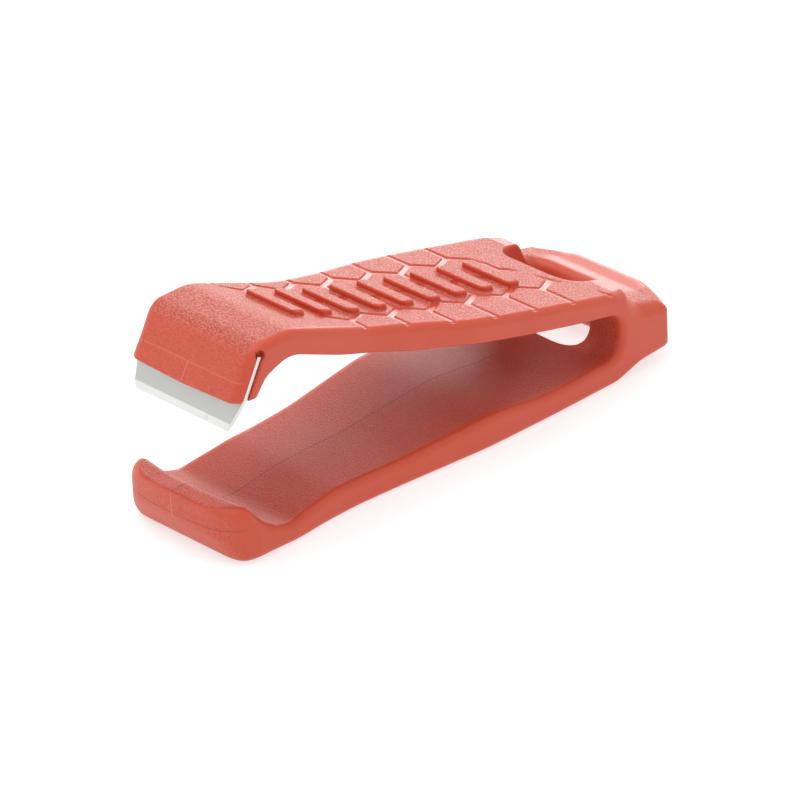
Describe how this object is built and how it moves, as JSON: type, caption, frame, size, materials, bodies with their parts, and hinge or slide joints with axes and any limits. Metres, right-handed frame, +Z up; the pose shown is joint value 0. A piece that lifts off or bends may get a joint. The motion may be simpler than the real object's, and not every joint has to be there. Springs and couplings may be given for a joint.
{
  "type": "line nipper",
  "caption": "Sprung tweezer-shaped line nipper: moulded body with honeycomb grip, steel blade in the upper jaw, anvil lip below and a lanyard slot at the rear.",
  "frame": {"origin": "middle of the nipper's box, on the surface that the lower lever lies on", "axes": "+X from the jaws to the lanyard bar, +Y across the nipper, +Z up from the lower lever to the upper"},
  "size_m": [0.063, 0.02, 0.0227],
  "materials": {
    "moulding": "moulded glass-filled nylon, satin sides and fine spark-eroded grain on the faces",
    "blade_steel": "stainless strip, ground bright along the cutting edge"
  },
  "bodies": {
    "lower_body": {"lower_lever": "moulding", "spring_bow": "moulding"},
    "upper_body": {"upper_lever": "moulding", "blade": "blade_steel"}
  },
  "joints": [
    {"name": "squeeze", "type": "hinge", "parent": "lower_body", "child": "upper_body", "pos_m": [0.02, 0, 0.0053], "axis": [0, -1, 0], "range_deg": [0, 9.7], "stiffness_Nm_per_rad": 1.5}
  ]
}
